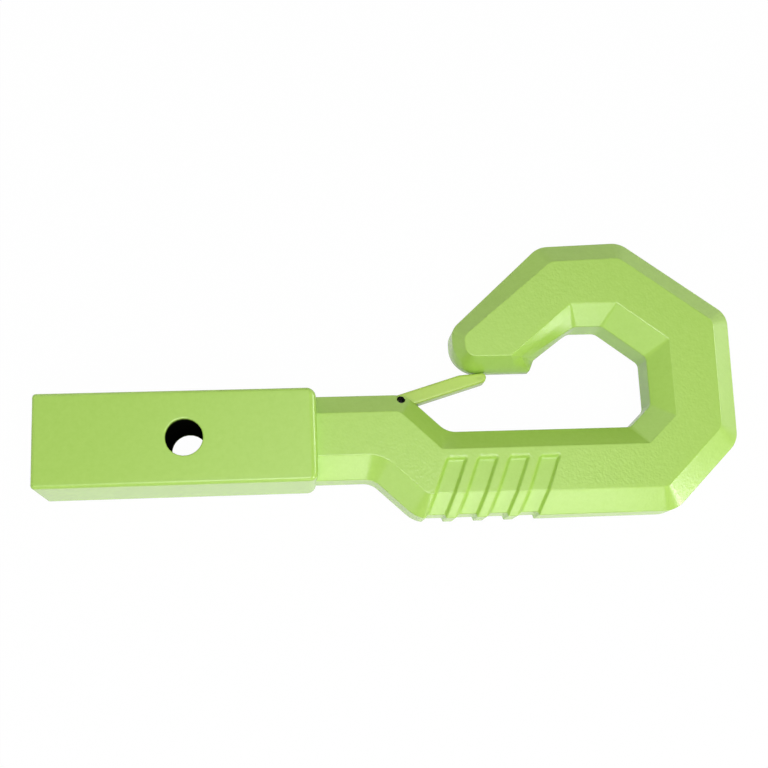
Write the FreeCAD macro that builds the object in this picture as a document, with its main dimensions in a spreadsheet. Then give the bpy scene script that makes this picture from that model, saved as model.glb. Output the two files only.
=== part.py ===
import FreeCAD, Part
import math
import os
from FreeCAD import Vector

# Receiver tow hook with a spring latch across its mouth, in millimetres.
# The origin is the centre of the hitch pin hole at half the shank's thickness.
# +X runs along the shank towards the hook, +Y towards the nose side, +Z out of the broad face.

SIZES = (
    # Shank, a square bar for a 2 inch receiver.
    ("shank_side", 50.0),
    ("shank_tail", 78.0),
    ("shank_front", 69.4),
    ("shank_edge_radius", 2.0),
    ("shank_front_radius", 4.5),
    ("hitch_hole_diameter", 19.6),
    ("hitch_hole_bevel", 0.8),
    # Casting seen from its edge: half thicknesses at the flats, at the rim and under the nose.
    ("flat_half", 18.4),
    ("rim_half", 8.64),
    ("nose_rim_half", 3.0),
    # Neck and shoulder.
    ("neck_half", 23.0),
    ("neck_root", 12.0),
    ("belly_along", 99.1),
    ("belly_slope_width", 23.2),
    ("shoulder_along", 118.5),
    ("slope_width", 21.9),
    # Bowl of the hook, the space a chain or shackle goes into.
    ("floor_height", 1.8),
    ("bowl_width", 114.2),
    ("floor_corner_width", 12.3),
    ("floor_corner_height", 11.6),
    ("side_height", 39.2),
    ("roof_corner_width", 23.8),
    ("roof_corner_height", 18.4),
    ("roof_width", 15.8),
    # Nose, above the latch.
    ("lip_width", 22.9),
    ("lip_height", 16.9),
    ("heel_width", 2.9),
    ("heel_height", 6.7),
    ("nose_length", 43.2),
    ("nose_height", 23.5),
    ("nose_draft", 2.1),
    # Heel of the nose: a facet under it, and a smaller one that turns into the bowl.
    ("heel_facet_width", 6.9),
    ("heel_crest_back", 12.9),
    ("heel_valley_half", 13.4),
    ("heel_valley_back", 6.3),
    ("heel_valley_rise", 6.0),
    ("heel_merge", 0.5),
    ("heel_merge_angle", 20.0),
    # Walls round the bowl and the cuts across the outer corners.
    ("bar_height", 46.8),
    ("back_wall", 47.6),
    ("back_lean", 1.4),
    ("arm_height", 48.9),
    ("top_fall", 1.8),
    ("front_cut_width", 52.0),
    ("top_cut_width", 58.6),
    ("top_cut_height", 43.6),
    ("low_cut_width", 38.4),
    ("low_cut_height", 37.0),
    # Widths of the sloping faces, seen from the broad side.
    ("outer_run", 12.0),
    ("inner_run", 11.0),
    ("corner_run", 13.1),
    ("nose_run", 5.6),
    ("front_run", 8.3),
    ("lip_run_start", 8.6),
    ("lip_run_end", 10.7),
    # Corner radii of the rim.
    ("belly_radius", 11.5),
    ("outer_low_radius", 16.0),
    ("outer_high_radius", 14.0),
    ("back_high_radius", 11.5),
    ("brow_radius", 10.0),
    ("nose_radius", 14.0),
    ("heel_low_radius", 1.2),
    ("heel_top_radius", 6.0),
    ("roof_radius", 6.5),
    ("side_radius", 4.5),
    ("floor_radius", 12.5),
    ("shoulder_radius", 17.0),
    # Corner radii of the flats.
    ("flat_outer_radius", 6.0),
    ("flat_inner_radius", 2.0),
    ("heel_merge_radius", 0.3),
    # Four slanted recesses that wrap round the lower bar.
    ("recess_count", 4),
    ("recess_first", 143.9),
    ("recess_pitch", 16.87),
    ("recess_top", 13.7),
    ("recess_mouth", 11.7),
    ("recess_depth", 2.0),
    ("recess_draft", 1.5),
    ("recess_slant", 0.39),
    ("recess_corner", 1.8),
    # Latch, its slot and its pin.
    ("pivot_back", 2.6),
    ("pivot_sink", 3.0),
    ("latch_thickness", 10.0),
    ("latch_height", 8.1),
    ("latch_angle", 16.7),
    ("latch_swing", 34.0),
    ("latch_seat_slope", 4.5),
    ("latch_tip_reach", 49.7),
    ("latch_tip_drop", 5.6),
    ("latch_tip_rake", 2.0),
    ("latch_tip_radius", 2.4),
    ("latch_edge_bevel", 0.6),
    ("seat_gap", 0.3),
    ("side_gap", 0.3),
    ("pin_diameter", 4.5),
    ("pin_wall", 0.7),
    ("pin_split", 0.8),
    ("pin_half_length", 10.2),
    ("pin_bevel", 0.4),
    ("pin_clearance", 0.05),
    # Torsion spring round the pin.
    ("wire_diameter", 0.9),
    ("coil_clearance", 0.1),
    ("coil_pitch", 1.0),
    ("coil_turns", 2),
    ("spring_leg", 9.0),
    ("leg_tilt", 5.0),
    ("pocket_half", 2.6),
    ("pocket_gap", 0.2),
    ("pocket_length", 9.6),
)

# How far the cutting shapes stand out past the surface that they cut.
OVERSHOOT = 1.5

# Degrees of the spring's coil that one chord of its wire spans.
COIL_STEP = 15


def make_sheet(doc):
    """Write the driving dimensions into a spreadsheet and return it."""
    sheet = doc.addObject("Spreadsheet::Sheet", "Sizes")
    for row, (name, value) in enumerate(SIZES, start=1):
        sheet.set("A%d" % row, name)
        sheet.set("B%d" % row, str(value))
        sheet.setAlias("B%d" % row, name)
    doc.recompute()
    return sheet


class Sizes:
    """The spreadsheet's values, read by name."""

    def __init__(self, sheet):
        for name, _ in SIZES:
            setattr(self, name, float(sheet.get(name)))


class Corner:
    """One corner of the hook's outline, and the edge that leaves it.

    rim_radius and flat_radius round the corner at the rim and on the flats. run_start and
    run_end say how far the flat's outline lies inside the rim's at both ends of the edge.
    draft is how far the edge moves in between the nose's parting band and the rim.
    """

    def __init__(self, along, across, rim_radius, flat_radius, run_start, run_end=None, draft=0.0):
        self.point = Vector(along, across, 0)
        self.rim_radius = rim_radius
        self.flat_radius = flat_radius
        self.run_start = run_start
        self.run_end = run_start if run_end is None else run_end
        self.draft = draft


def roof_level(s):
    """Height of the bowl's roof."""
    return s.floor_height + s.side_height + s.roof_corner_height


def nose_level(s):
    """Height of the nose's underside, which the latch closes against."""
    return roof_level(s) - s.lip_height - s.heel_height


def hook_corners(s):
    """Corners of neck and hook, anticlockwise, from the lower root inside the shank.

    The nose's heel is one corner here, where the nose's underside and the bowl's lip would meet.
    """
    root = s.shank_front - s.neck_root
    bar_bottom = s.floor_height - s.bar_height
    bar_left = s.belly_along + s.belly_slope_width
    floor_left = s.shoulder_along + s.slope_width
    bowl_back = floor_left + s.bowl_width
    side_low = s.floor_height + s.floor_corner_height
    side_top = s.floor_height + s.side_height
    roof_right = bowl_back - s.roof_corner_width
    roof = roof_level(s)
    roof_left = roof_right - s.roof_width
    nose_under = nose_level(s)
    heel_along = roof_left - s.lip_width * (roof - nose_under) / s.lip_height
    nose_front = roof_left - s.lip_width - s.heel_width - s.nose_length
    back = bowl_back + s.back_wall
    top = roof + s.arm_height
    return [
        Corner(root, -s.neck_half, 0, 0, s.outer_run),
        Corner(s.belly_along, -s.neck_half, s.belly_radius, s.flat_outer_radius, s.outer_run),
        Corner(bar_left, bar_bottom, s.outer_low_radius, s.flat_outer_radius, s.outer_run),
        Corner(back - s.low_cut_width, bar_bottom, s.outer_low_radius, s.flat_outer_radius,
               s.corner_run),
        Corner(back, bar_bottom + s.low_cut_height, s.outer_high_radius, s.flat_outer_radius,
               s.outer_run),
        Corner(back + s.back_lean, top - s.top_cut_height, s.back_high_radius,
               s.flat_outer_radius, s.outer_run),
        Corner(back + s.back_lean - s.top_cut_width, top, s.outer_high_radius,
               s.flat_outer_radius, s.outer_run),
        Corner(nose_front + s.front_cut_width, top - s.top_fall, s.outer_high_radius,
               s.flat_outer_radius, s.outer_run, s.front_run),
        Corner(nose_front, nose_under + s.nose_height, s.brow_radius, s.flat_outer_radius,
               s.nose_run),
        Corner(nose_front, nose_under, s.nose_radius, s.flat_outer_radius, s.nose_run,
               draft=s.nose_draft),
        Corner(heel_along, nose_under, 0, 0, s.lip_run_start, s.lip_run_end),
        Corner(roof_left, roof, s.roof_radius, s.flat_inner_radius, s.inner_run),
        Corner(roof_right, roof, s.roof_radius, s.flat_inner_radius, s.corner_run),
        Corner(bowl_back, side_top, s.side_radius, s.flat_inner_radius, s.inner_run),
        Corner(bowl_back, side_low, s.side_radius, s.flat_inner_radius, s.corner_run),
        Corner(bowl_back - s.floor_corner_width, s.floor_height, s.side_radius,
               s.flat_inner_radius, s.inner_run),
        Corner(floor_left, s.floor_height, s.floor_radius, s.flat_inner_radius, s.inner_run),
        Corner(s.shoulder_along, s.neck_half, s.shoulder_radius, s.flat_outer_radius, s.inner_run),
        Corner(root, s.neck_half, 0, 0, 0),
    ]


def heel_corners(s, height):
    """Points and radii of the heel's three corners in the outline at a height.

    Three straight edges leave the parting band. The one in front and the flats meet in the
    crest. The other two meet lower, in the valley, and run on to the crest as one.
    """
    roof_left = s.shoulder_along + s.slope_width + s.bowl_width - s.roof_corner_width - s.roof_width
    top = Vector(roof_left - s.lip_width, roof_level(s) - s.lip_height, 0)
    low = top - Vector(s.heel_width, s.heel_height, 0)
    front = low - Vector(s.heel_facet_width, 0, 0)
    crest = low + Vector(-s.heel_crest_back, s.nose_run, 0)
    valley = low + Vector(-s.heel_valley_back, s.heel_valley_rise, 0)
    merge = heading(s.heel_merge_angle) * s.heel_merge
    share = (height - s.nose_rim_half) / (s.flat_half - s.nose_rim_half)
    below = min((height - s.nose_rim_half) / (s.heel_valley_half - s.nose_rim_half), 1)
    above = max((height - s.heel_valley_half) / (s.flat_half - s.heel_valley_half), 0)
    bend = valley + (crest + Vector(s.heel_merge / 2, 0, 0) - valley) * above
    points = [
        front + (crest - front) * share,
        low + (bend - low) * below,
        top + (bend + merge - top) * below,
    ]
    radii = [0] + [max(radius * (1 - below), s.heel_merge_radius)
                   for radius in (s.heel_low_radius, s.heel_top_radius)]
    return points, radii


def crossing(first, second):
    """Point where two lines, each given by two points, cross in the XY plane."""
    start, end = first
    other_start, other_end = second
    way = end - start
    other_way = other_end - other_start
    turn = way.x * other_way.y - way.y * other_way.x
    gap = other_start - start
    return start + way * ((gap.x * other_way.y - gap.y * other_way.x) / turn)


def moved_outline(corners, moves):
    """Corner points after each edge has moved inwards by its own pair of distances."""
    lines = []
    for index, corner in enumerate(corners):
        start = corner.point
        end = corners[(index + 1) % len(corners)].point
        way = (end - start).normalize()
        inwards = Vector(-way.y, way.x, 0)
        lines.append((start + inwards * moves[index][0], end + inwards * moves[index][1]))
    return [crossing(lines[index - 1], line) for index, line in enumerate(lines)]


def rounded_wire(points, radii, height):
    """Closed wire of straight edges through points, each corner rounded by an arc."""
    lift = Vector(0, 0, height)
    bends = []
    for index, point in enumerate(points):
        if radii[index] == 0:
            bends.append((point, None, point))
            continue
        back = (points[index - 1] - point).normalize()
        ahead = (points[(index + 1) % len(points)] - point).normalize()
        half = back.getAngle(ahead) / 2
        trim = radii[index] / math.tan(half)
        bisector = (back + ahead).normalize()
        middle = point + bisector * (radii[index] / math.sin(half) - radii[index])
        bends.append((point + back * trim, middle, point + ahead * trim))
    edges = []
    for index, (start, middle, end) in enumerate(bends):
        following = bends[(index + 1) % len(bends)][0]
        if middle is not None:
            edges.append(Part.Arc(start + lift, middle + lift, end + lift).toShape())
        edges.append(Part.LineSegment(end + lift, following + lift).toShape())
    return Part.Wire(edges)


def casting_blank(s):
    """Neck and hook without cuts: ruled faces between outlines from the band to the flats."""
    corners = hook_corners(s)
    heel = next(index for index, corner in enumerate(corners)
                if corner.run_start == s.lip_run_start)
    at_band = [corner.point for corner in corners]
    at_rim = moved_outline(corners, [(corner.draft, corner.draft) for corner in corners])
    at_flat = moved_outline(corners, [(corner.run_start, corner.run_end) for corner in corners])
    rim_radii = [corner.rim_radius for corner in corners]
    flat_radii = [corner.flat_radius for corner in corners]
    share = (s.heel_valley_half - s.rim_half) / (s.flat_half - s.rim_half)
    at_valley = [low + (high - low) * share for low, high in zip(at_rim, at_flat)]
    valley_radii = [low + (high - low) * share for low, high in zip(rim_radii, flat_radii)]
    wires = []
    for points, radii, height in (
        (at_band, rim_radii, s.nose_rim_half),
        (at_rim, rim_radii, s.rim_half),
        (at_valley, valley_radii, s.heel_valley_half),
        (at_flat, flat_radii, s.flat_half),
    ):
        heel_points, heel_radii = heel_corners(s, height)
        outline = points[:heel] + heel_points + points[heel + 1:]
        rounding = radii[:heel] + heel_radii + radii[heel + 1:]
        wires.insert(0, rounded_wire(outline, rounding, -height))
        wires.append(rounded_wire(outline, rounding, height))
    return Part.makeLoft(wires, True, True)


def bar_section(s, inset):
    """Lower bar's flat edge and rim edge, as (y, z), with the surface moved in by inset."""
    bar_bottom = s.floor_height - s.bar_height
    fall = s.outer_run
    rise = s.flat_half - s.rim_half
    slant = math.hypot(fall, rise)
    flat_edge = bar_bottom + fall + inset * (slant - fall) / rise
    rim_edge = s.rim_half - inset * (slant - rise) / fall
    return (flat_edge, s.flat_half - inset), (bar_bottom + inset, rim_edge)


def recess_ring(s, centre, inset):
    """Left and right walls of one recess at a depth, as two lists of points, front to back."""
    flat_edge, rim_edge = bar_section(s, inset)
    lean = s.recess_draft / s.recess_depth * inset
    half = s.recess_mouth / 2 - lean
    top = -s.recess_top - lean
    stations = [(top, flat_edge[1]), flat_edge, rim_edge]
    stations += [(across, -height) for across, height in reversed(stations)]
    walls = []
    for side in (-half, half):
        walls.append([
            Vector(centre + s.recess_slant * (across + s.recess_top) + side, across, height)
            for across, height in stations
        ])
    return walls


def recess_tool(s, centre):
    """Solid that cuts one recess: drafted walls between its floor and a surface outside."""
    floor_left, floor_right = recess_ring(s, centre, s.recess_depth)
    mouth_left, mouth_right = recess_ring(s, centre, -OVERSHOOT)
    sections = [
        Part.makePolygon([low_left, low_right, high_right, high_left, low_left])
        for low_left, low_right, high_right, high_left
        in zip(floor_left, floor_right, mouth_right, mouth_left)
    ]
    tool = Part.makeLoft(sections, True, True)
    ends = [(floor[place], mouth[place]) for place in (0, -1)
            for floor, mouth in ((floor_left, mouth_left), (floor_right, mouth_right))]
    return tool.makeFillet(s.recess_corner, [edge for edge in tool.Edges if joins(edge, ends)])


def joins(edge, pairs):
    """True if the edge runs between the two points of one of the pairs."""
    start, end = (vertex.Point for vertex in edge.Vertexes)
    near = 1e-6
    return any(
        (start.isEqual(first, near) and end.isEqual(last, near))
        or (start.isEqual(last, near) and end.isEqual(first, near))
        for first, last in pairs
    )


def pivot_point(s):
    """Centre of the latch's pin."""
    return Vector(s.shoulder_along - s.pivot_back, s.neck_half - s.pivot_sink, 0)


def heading(degrees):
    """Unit vector in the XY plane at an angle from +X."""
    return Vector(math.cos(math.radians(degrees)), math.sin(math.radians(degrees)), 0)


def prism(points, radii, half):
    """Solid of a rounded outline, as thick in front of the middle plane as behind it."""
    return Part.Face(rounded_wire(points, radii, -half)).extrude(Vector(0, 0, 2 * half))


def slot_tool(s):
    """Space between the ears: room for the latch from rest to its stop on the slot's floor."""
    pivot = pivot_point(s)
    half_height = s.latch_height / 2 + s.seat_gap
    along_floor = heading(s.latch_angle - s.latch_swing)
    below = heading(s.latch_angle - s.latch_swing - 90)
    left = pivot.x - half_height
    top = s.neck_half + OVERSHOOT
    past_slope = s.slope_width + s.pivot_back
    floor_start = pivot + below * half_height
    floor_left = crossing(
        (floor_start, floor_start + along_floor), (Vector(left, 0, 0), Vector(left, top, 0)))
    floor_right = floor_start + along_floor * past_slope
    return prism(
        [Vector(left, top, 0), floor_left, floor_right, Vector(floor_right.x, top, 0)],
        [0, half_height * 0.9, 0, 0],
        s.latch_thickness / 2 + s.side_gap,
    )


def latch_outline(s):
    """Corner points and radii of the latch, anticlockwise from its lower end at the pin."""
    pivot = pivot_point(s)
    along = heading(s.latch_angle)
    up = heading(s.latch_angle + 90)
    half = s.latch_height / 2
    heel = pivot - along * half
    tip_top = nose_level(s) - s.seat_gap
    tip_end = pivot.x + s.latch_tip_reach
    top_line = (pivot + up * half, pivot + up * half + along)
    low_line = (pivot - up * half, pivot - up * half + along)
    tip = Vector(tip_end, tip_top, 0)
    seat_line = (tip, tip + heading(s.latch_seat_slope))
    end_line = (tip, tip - Vector(s.latch_tip_rake, s.latch_tip_drop, 0))
    points = [heel - up * half, crossing(low_line, end_line), end_line[0],
              crossing(top_line, seat_line), heel + up * half]
    round_heel = half * 0.999
    return points, [round_heel, s.latch_tip_radius, s.latch_tip_radius, half * 2, round_heel]


def coil_radius(s):
    """Radius of the middle of the spring's wire."""
    return s.pin_diameter / 2 + s.coil_clearance + s.wire_diameter / 2


def spring_pocket(s):
    """Hollow in the latch's heel that holds the coil and the leg that lifts the latch."""
    pivot = pivot_point(s)
    roof = coil_radius(s) + s.wire_diameter / 2 + s.pocket_gap
    along = heading(s.latch_angle)
    up = heading(s.latch_angle + 90)
    back = pivot - along * s.latch_height
    front = pivot + along * s.pocket_length
    outline = [back - up * s.latch_height, front - up * s.latch_height, front + up * roof,
               pivot + up * roof, back]
    hollow = prism(outline, [0, 0, 0, 0, 0], s.pocket_half)
    round_end = Part.makeCylinder(roof, 2 * s.pocket_half, pivot - Vector(0, 0, s.pocket_half))
    return hollow.fuse(round_end)


def spring_path(s):
    """Middle line of the spring's wire: the lower leg, short chords round the pin, the upper leg."""
    upper = s.latch_angle + 90
    lower = s.latch_angle - s.latch_swing - s.leg_tilt - 90
    turn = 360 * s.coil_turns + (lower - upper) % 360
    chords = int(turn / COIL_STEP)
    height = s.coil_pitch * turn / 360
    coil = [
        heading(lower - turn * bend / chords) * coil_radius(s)
        + Vector(0, 0, height * (bend / chords - 0.5))
        for bend in range(chords + 1)
    ]
    floor_leg = coil[0] + heading(lower + 90) * s.spring_leg
    latch_leg = coil[-1] + heading(lower - turn - 90) * s.spring_leg
    return [floor_leg] + coil + [latch_leg]


def spring_shape(s):
    """Torsion spring: an eight-sided wire round the pin with a leg under the latch and one on
    the slot's floor."""
    path = spring_path(s)
    way = (path[1] - path[0]).normalize()
    side = way.cross(Vector(0, 0, 1))
    ring = []
    for corner in range(9):
        angle = math.radians(45 * corner + 22.5)
        ring.append(path[0] + (side * math.cos(angle) + Vector(0, 0, math.sin(angle)))
                    * (s.wire_diameter / 2))
    return Part.makePolygon(path).makePipeShell([Part.makePolygon(ring)], True, False, 1)


def add_shape(doc, name, shape):
    """Part::Feature that holds a shape worked out by the functions above."""
    feature = doc.addObject("Part::Feature", name)
    feature.Shape = shape
    return feature


def add_cylinder(doc, name, radius, height, centre):
    """Part::Cylinder along Z with its middle at centre, its sizes bound to the sheet."""
    item = doc.addObject("Part::Cylinder", name)
    item.setExpression("Radius", radius)
    item.setExpression("Height", height)
    item.Placement.Base = centre
    item.setExpression("Placement.Base.z", "-(%s) / 2" % height)
    return item


def add_cut(doc, name, base, tools):
    """Part::Cut of one or more tools out of a base."""
    tool = tools[0]
    if len(tools) > 1:
        tool = doc.addObject("Part::MultiFuse", name + "Tools")
        tool.Shapes = tools
    item = doc.addObject("Part::Cut", name)
    item.Base = base
    item.Tool = tool
    doc.recompute()
    return item


def add_fillet(doc, name, base, choose):
    """Part::Fillet whose choose(edge) gives each edge's radius, or 0 to leave it sharp."""
    item = doc.addObject("Part::Fillet", name)
    item.Base = base
    radii = [(index, choose(edge)) for index, edge in enumerate(base.Shape.Edges, start=1)]
    item.Edges = [(index, radius, radius) for index, radius in radii if radius > 0]
    doc.recompute()
    return item


def make_shank(doc, s):
    """Square bar with rounded edges, rounder at the front where the neck leaves it."""
    bar = doc.addObject("Part::Box", "ShankBar")
    bar.setExpression("Length", "Sizes.shank_tail + Sizes.shank_front")
    bar.setExpression("Width", "Sizes.shank_side")
    bar.setExpression("Height", "Sizes.shank_side")
    bar.setExpression("Placement.Base.x", "-Sizes.shank_tail")
    bar.setExpression("Placement.Base.y", "-Sizes.shank_side / 2")
    bar.setExpression("Placement.Base.z", "-Sizes.shank_side / 2")
    doc.recompute()

    def radius(edge):
        at_front = edge.BoundBox.XMin > 0
        return s.shank_front_radius if at_front else s.shank_edge_radius

    return add_fillet(doc, "ShankRounded", bar, radius)


def make_hook_body(doc, s):
    """One casting: shank, neck and hook, less its holes, slot and recesses."""
    shank = make_shank(doc, s)
    blank = add_shape(doc, "HookBlank", casting_blank(s))
    whole = doc.addObject("Part::Fuse", "Casting")
    whole.Base = shank
    whole.Tool = blank
    doc.recompute()
    hitch = add_cylinder(
        doc, "HitchHole", "Sizes.hitch_hole_diameter / 2", "Sizes.shank_side * 2", Vector())
    bevels = []
    for side in (-1, 1):
        bevel = doc.addObject("Part::Cone", "HitchHoleBevel")
        bevel.setExpression("Radius1", "Sizes.hitch_hole_diameter / 2")
        bevel.setExpression("Radius2", "Sizes.hitch_hole_diameter / 2 + 2 * Sizes.hitch_hole_bevel")
        bevel.setExpression("Height", "2 * Sizes.hitch_hole_bevel")
        bevel.Placement.Rotation = FreeCAD.Rotation(Vector(1, 0, 0), 90 - 90 * side)
        bevel.Placement.Base = Vector(0, 0, side * (s.shank_side / 2 - s.hitch_hole_bevel))
        bevels.append(bevel)
    pin_hole = add_cylinder(
        doc, "PinHole", "Sizes.pin_diameter / 2", "Sizes.flat_half * 4", pivot_point(s))
    slot = add_shape(doc, "LatchSlot", slot_tool(s))
    recesses = [
        add_shape(doc, "Recess", recess_tool(s, s.recess_first + index * s.recess_pitch))
        for index in range(int(s.recess_count))
    ]
    body = add_cut(doc, "HookBody", whole, [hitch] + bevels + [pin_hole, slot] + recesses)
    body.Label = "hook_body"
    return body


def make_latch(doc, s):
    """Latch bar: round heel, flat seat under the nose, spring pocket open to below."""
    points, radii = latch_outline(s)
    outline = add_shape(doc, "LatchOutline", Part.Face(rounded_wire(points, radii, 0)))
    bar = doc.addObject("Part::Extrusion", "LatchBar")
    bar.Base = outline
    bar.Dir = Vector(0, 0, 1)
    bar.Symmetric = True
    bar.setExpression("LengthFwd", "Sizes.latch_thickness")
    doc.recompute()

    bevelled = doc.addObject("Part::Chamfer", "LatchBevelled")
    bevelled.Base = bar
    rims = [index for index, edge in enumerate(bar.Shape.Edges, start=1)
            if edge.BoundBox.ZLength < s.latch_edge_bevel]
    bevelled.Edges = [(index, s.latch_edge_bevel, s.latch_edge_bevel) for index in rims]
    hole = add_cylinder(
        doc, "LatchHole", "Sizes.pin_diameter / 2 + Sizes.pin_clearance",
        "Sizes.latch_thickness * 2", pivot_point(s))
    pocket = add_shape(doc, "SpringPocket", spring_pocket(s))
    latch = add_cut(doc, "Latch", bevelled, [hole, pocket])
    latch.Label = "latch"
    return latch


def make_pin(doc, s):
    """Slotted spring pin: a rolled tube with a gap along its side and bevelled ends."""
    rod = add_cylinder(
        doc, "PinRod", "Sizes.pin_diameter / 2", "Sizes.pin_half_length * 2", pivot_point(s))
    doc.recompute()
    bevelled = doc.addObject("Part::Chamfer", "PinBevelled")
    bevelled.Base = rod
    ends = [index for index, edge in enumerate(rod.Shape.Edges, start=1)
            if isinstance(edge.Curve, Part.Circle)]
    bevelled.Edges = [(index, s.pin_bevel, s.pin_bevel) for index in ends]
    bore = add_cylinder(
        doc, "PinBore", "Sizes.pin_diameter / 2 - Sizes.pin_wall",
        "Sizes.pin_half_length * 4", pivot_point(s))
    gap = doc.addObject("Part::Box", "PinGap")
    gap.setExpression("Length", "Sizes.pin_split")
    gap.setExpression("Width", "Sizes.pin_diameter")
    gap.setExpression("Height", "Sizes.pin_half_length * 4")
    gap.Placement.Base = pivot_point(s) - Vector(s.pin_split / 2, 0, 2 * s.pin_half_length)
    pin = add_cut(doc, "LatchPin", bevelled, [bore, gap])
    pin.Label = "latch_pin"
    return pin


def make_spring(doc, s):
    """Torsion spring, set round the pin."""
    spring = add_shape(doc, "LatchSpring", spring_shape(s))
    spring.Placement.Base = pivot_point(s)
    spring.Label = "latch_spring"
    return spring


def check_document(doc, pieces):
    """Stop if any object failed or any piece is not one valid solid."""
    for item in doc.Objects:
        if "Invalid" in item.State or "Error" in item.State:
            raise RuntimeError("%s failed: %s" % (item.Name, item.State))
    for piece in pieces:
        shape = piece.Shape
        if shape.isNull() or not shape.isValid() or len(shape.Solids) != 1:
            raise RuntimeError("%s is not one valid solid" % piece.Label)


def main():
    """Build every piece and write one STEP file for each."""
    doc = FreeCAD.newDocument("ReceiverTowHook")
    sizes = Sizes(make_sheet(doc))
    pieces = [
        make_hook_body(doc, sizes),
        make_latch(doc, sizes),
        make_pin(doc, sizes),
        make_spring(doc, sizes),
    ]
    doc.recompute()
    check_document(doc, pieces)
    os.makedirs("parts", exist_ok=True)
    for piece in pieces:
        piece.Shape.exportStep("parts/%s.step" % piece.Label)
        box = piece.Shape.BoundBox
        print("%s: %.0f mm3, X %.1f to %.1f, Y %.1f to %.1f, Z %.1f to %.1f" % (
            piece.Label, piece.Shape.Volume, box.XMin, box.XMax, box.YMin, box.YMax,
            box.ZMin, box.ZMax))


main()
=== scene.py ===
"""Receiver tow hook in lime green powder coat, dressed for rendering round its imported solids.

Every size in the classes is in millimetres, in the frame of the solids: the origin is the centre
of the hitch pin hole at half the shank's thickness, +X runs along the shank towards the hook,
+Y towards the nose and +Z out of the broad face. Meshes are written in metres.
"""

from __future__ import annotations

import logging
import math
from dataclasses import astuple, dataclass
from enum import Enum

import bpy
import numpy as np
from mathutils import Matrix, Vector

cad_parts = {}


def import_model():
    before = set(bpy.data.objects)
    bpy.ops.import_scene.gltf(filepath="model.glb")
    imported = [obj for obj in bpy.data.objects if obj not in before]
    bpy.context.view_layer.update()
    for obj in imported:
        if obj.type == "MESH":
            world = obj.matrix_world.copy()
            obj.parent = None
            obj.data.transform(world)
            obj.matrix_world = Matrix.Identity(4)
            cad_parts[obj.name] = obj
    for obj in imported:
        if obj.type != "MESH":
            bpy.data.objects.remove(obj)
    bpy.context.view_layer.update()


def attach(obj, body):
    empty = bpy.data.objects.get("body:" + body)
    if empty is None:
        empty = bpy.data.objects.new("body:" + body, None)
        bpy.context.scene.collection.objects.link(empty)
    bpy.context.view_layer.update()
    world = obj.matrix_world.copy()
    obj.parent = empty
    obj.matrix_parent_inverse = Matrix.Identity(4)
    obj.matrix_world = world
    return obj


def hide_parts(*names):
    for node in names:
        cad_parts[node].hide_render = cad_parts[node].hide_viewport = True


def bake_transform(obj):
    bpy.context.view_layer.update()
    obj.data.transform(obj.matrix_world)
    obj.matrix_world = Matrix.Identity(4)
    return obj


LOG = logging.getLogger("tow_hook")
METRES = 0.001
SHARP_FROM_DEGREES = 38.0
OTHER_SIDE = np.array([1, 1, -1])


class Body(Enum):
    """The two rigid bodies that the latch's hinge joins."""

    HOOK = "hook"
    LATCH = "latch"


class Slot(Enum):
    """Names of the record's material slots."""

    CASTING = "powder_coated_casting"
    LATCH = "powder_coated_latch"
    PIN = "black_spring_pin"
    SPRING = "spring_wire"


# ---- curves and grids


def unit(vectors: np.ndarray) -> np.ndarray:
    """Vectors scaled to length 1 along the last axis."""
    return vectors / np.linalg.norm(vectors, axis=-1, keepdims=True)


def turned_left(vectors: np.ndarray) -> np.ndarray:
    """Plane vectors turned a quarter turn anticlockwise."""
    return np.stack([-vectors[..., 1], vectors[..., 0]], axis=-1)


def heading(degrees: float) -> np.ndarray:
    """Plane unit vector at an angle from +X."""
    angle = math.radians(degrees)
    return np.array([math.cos(angle), math.sin(angle)])


def circle(steps: int) -> np.ndarray:
    """Points evenly spaced round the unit circle, anticlockwise."""
    turn = np.linspace(0, 2 * math.pi, steps, endpoint=False)
    return np.stack([np.cos(turn), np.sin(turn)], axis=1)


def crossed(first: np.ndarray, second: np.ndarray) -> np.ndarray:
    """Third component of the cross product of plane vectors."""
    return first[..., 0] * second[..., 1] - first[..., 1] * second[..., 0]


def is_convex(points: np.ndarray) -> np.ndarray:
    """True at each corner of an anticlockwise outline that turns left."""
    arriving = points - np.roll(points, 1, axis=0)
    leaving = np.roll(points, -1, axis=0) - points
    return crossed(arriving, leaving) > 0


def moved_corners(points: np.ndarray, starts: np.ndarray, ends: np.ndarray) -> np.ndarray:
    """Corners of an outline whose edges have moved inwards.

    Each edge leaves its own corner. Its start moves square to it by one distance and its end by
    another, and the new corners are where neighbouring edges then cross.

    Args:
        points: corners of an anticlockwise outline, one row each.
        starts: how far the start of the edge that leaves each corner moves.
        ends: how far that edge's end moves.

    Returns:
        The new corners.
    """
    following = np.roll(points, -1, axis=0)
    inwards = turned_left(unit(following - points))
    first = points + inwards * starts[:, None]
    last = following + inwards * ends[:, None]
    before_first, before_last = np.roll(first, 1, axis=0), np.roll(last, 1, axis=0)
    before_way, way = before_last - before_first, last - first
    share = crossed(first - before_first, way) / crossed(before_way, way)
    return before_first + before_way * share[:, None]


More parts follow.
